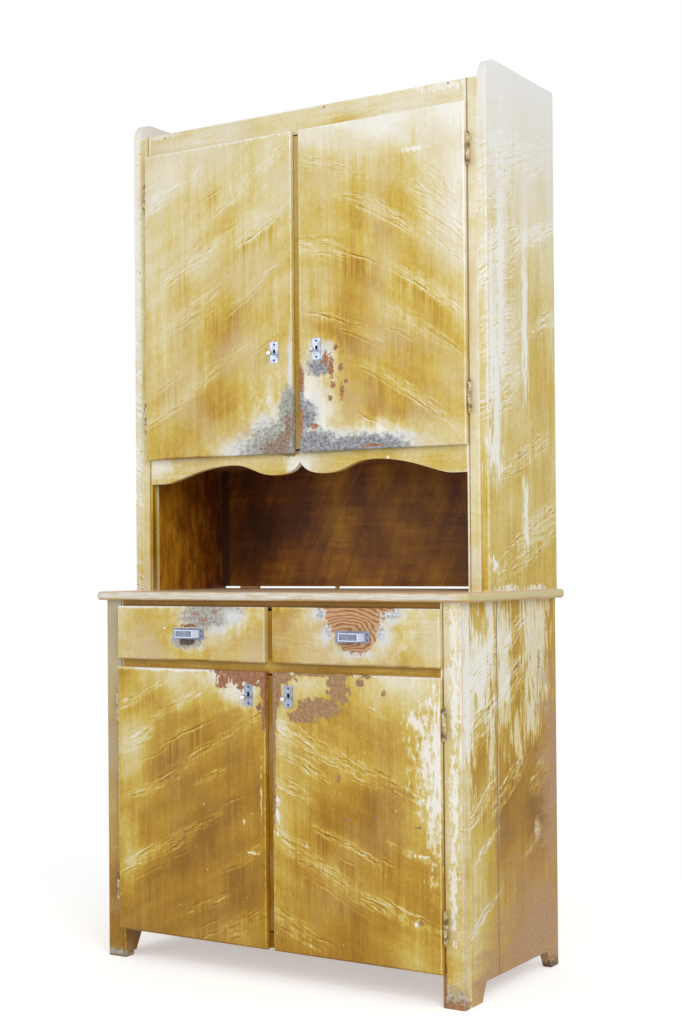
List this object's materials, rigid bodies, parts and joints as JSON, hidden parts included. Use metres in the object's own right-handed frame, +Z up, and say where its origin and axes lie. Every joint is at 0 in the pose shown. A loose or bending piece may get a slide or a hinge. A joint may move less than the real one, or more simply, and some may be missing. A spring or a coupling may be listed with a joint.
{
  "type": "bakers cabinet",
  "caption": "Tall kitchen hutch: drawers over doors below a worktop, an open niche with a scalloped valance, and a doored cupboard above.",
  "frame": {"origin": "on the floor, under the middle of the cabinet's outer box", "axes": "+X to the right as seen from the front, +Y to the back, +Z up"},
  "size_m": [0.984, 0.495, 1.977],
  "materials": {
    "grained_case": "worn ochre glaze over cream paint, combed into a false grain",
    "grained_front": "worn ochre glaze over cream paint, combed into a false grain",
    "worktop_wood": "worn varnish over solid wood",
    "dark_glazed_wood": "dark brown glaze",
    "bare_pine": "bare planed softwood",
    "latch_steel": "plated sheet, slightly dulled",
    "knob_chrome": "polished plate",
    "pull_steel": "satin plate",
    "hinge_iron": "iron under the cabinet's glaze, rubbed"
  },
  "bodies": {
    "carcase": {"back_blocks": "dark_glazed_wood", "drawer_muntin": "grained_case", "drawer_runner_left": "bare_pine", "drawer_runner_middle": "bare_pine", "drawer_runner_right": "bare_pine", "lower_back_panel": "bare_pine", "lower_bottom_rail": "grained_case", "lower_floor_board": "bare_pine", "lower_hinge_frame_halves_left": "hinge_iron", "lower_hinge_frame_halves_right": "hinge_iron", "lower_middle_rail": "grained_case", "lower_post_left": "grained_case", "lower_post_right": "grained_case", "lower_shelf": "bare_pine", "lower_side_left": "grained_case", "lower_side_right": "grained_case", "lower_top_rail": "grained_case", "upper_back_panel": "dark_glazed_wood", "upper_floor_board": "dark_glazed_wood", "upper_hinge_frame_halves_left": "hinge_iron", "upper_hinge_frame_halves_right": "hinge_iron", "upper_roof_board": "bare_pine", "upper_shelf": "bare_pine", "upper_side_left": "grained_case", "upper_side_right": "grained_case", "upper_stile_left": "grained_case", "upper_stile_right": "grained_case", "upper_top_rail": "grained_case", "valance": "grained_case", "worktop": "worktop_wood"},
    "lower_left_door": {"lower_closing_strip": "grained_case", "lower_door_left": "grained_front", "lower_hinge_door_halves_left": "hinge_iron", "lower_latch_plate_left": "latch_steel"},
    "lower_right_door": {"lower_door_right": "grained_front", "lower_hinge_door_halves_right": "hinge_iron", "lower_latch_plate_right": "latch_steel"},
    "upper_left_door": {"upper_closing_strip": "grained_case", "upper_door_left": "grained_front", "upper_hinge_door_halves_left": "hinge_iron", "upper_latch_plate_left": "latch_steel"},
    "upper_right_door": {"upper_door_right": "grained_front", "upper_hinge_door_halves_right": "hinge_iron", "upper_latch_plate_right": "latch_steel"},
    "lower_left_latch": {"lower_latch_bolt_left": "latch_steel", "lower_latch_knob_left": "knob_chrome"},
    "lower_right_latch": {"lower_latch_bolt_right": "latch_steel", "lower_latch_knob_right": "knob_chrome"},
    "upper_left_latch": {"upper_latch_bolt_left": "latch_steel", "upper_latch_knob_left": "knob_chrome"},
    "upper_right_latch": {"upper_latch_bolt_right": "latch_steel", "upper_latch_knob_right": "knob_chrome"},
    "left_drawer": {"drawer_bottom_left": "bare_pine", "drawer_box_left": "bare_pine", "drawer_front_left": "grained_front", "drawer_pull_left": "pull_steel"},
    "right_drawer": {"drawer_bottom_right": "bare_pine", "drawer_box_right": "bare_pine", "drawer_front_right": "grained_front", "drawer_pull_right": "pull_steel"}
  },
  "joints": [
    {"name": "lower_left_door_hinge", "type": "hinge", "parent": "carcase", "child": "lower_left_door", "pos_m": [-0.431, -0.2105, 0.37225], "axis": [0, 0, -1], "range_deg": [0, 165]},
    {"name": "lower_right_door_hinge", "type": "hinge", "parent": "carcase", "child": "lower_right_door", "pos_m": [0.431, -0.2105, 0.37225], "axis": [0, 0, 1], "range_deg": [0, 165]},
    {"name": "upper_left_door_hinge", "type": "hinge", "parent": "carcase", "child": "upper_left_door", "pos_m": [-0.436, -0.0945, 1.5235], "axis": [0, 0, -1], "range_deg": [0, 165]},
    {"name": "upper_right_door_hinge", "type": "hinge", "parent": "carcase", "child": "upper_right_door", "pos_m": [0.436, -0.0945, 1.5235], "axis": [0, 0, 1], "range_deg": [0, 165]},
    {"name": "lower_left_latch_slide", "type": "slide", "parent": "lower_left_door", "child": "lower_left_latch", "axis": [0, 0, 1], "range_m": [0, 0.008]},
    {"name": "lower_right_latch_slide", "type": "slide", "parent": "lower_right_door", "child": "lower_right_latch", "axis": [0, 0, 1], "range_m": [0, 0.008]},
    {"name": "upper_left_latch_slide", "type": "slide", "parent": "upper_left_door", "child": "upper_left_latch", "axis": [0, 0, 1], "range_m": [0, 0.008]},
    {"name": "upper_right_latch_slide", "type": "slide", "parent": "upper_right_door", "child": "upper_right_latch", "axis": [0, 0, 1], "range_m": [0, 0.008]},
    {"name": "left_drawer_slide", "type": "slide", "parent": "carcase", "child": "left_drawer", "axis": [0, -1, 0], "range_m": [0, 0.32]},
    {"name": "right_drawer_slide", "type": "slide", "parent": "carcase", "child": "right_drawer", "axis": [0, -1, 0], "range_m": [0, 0.32]}
  ]
}
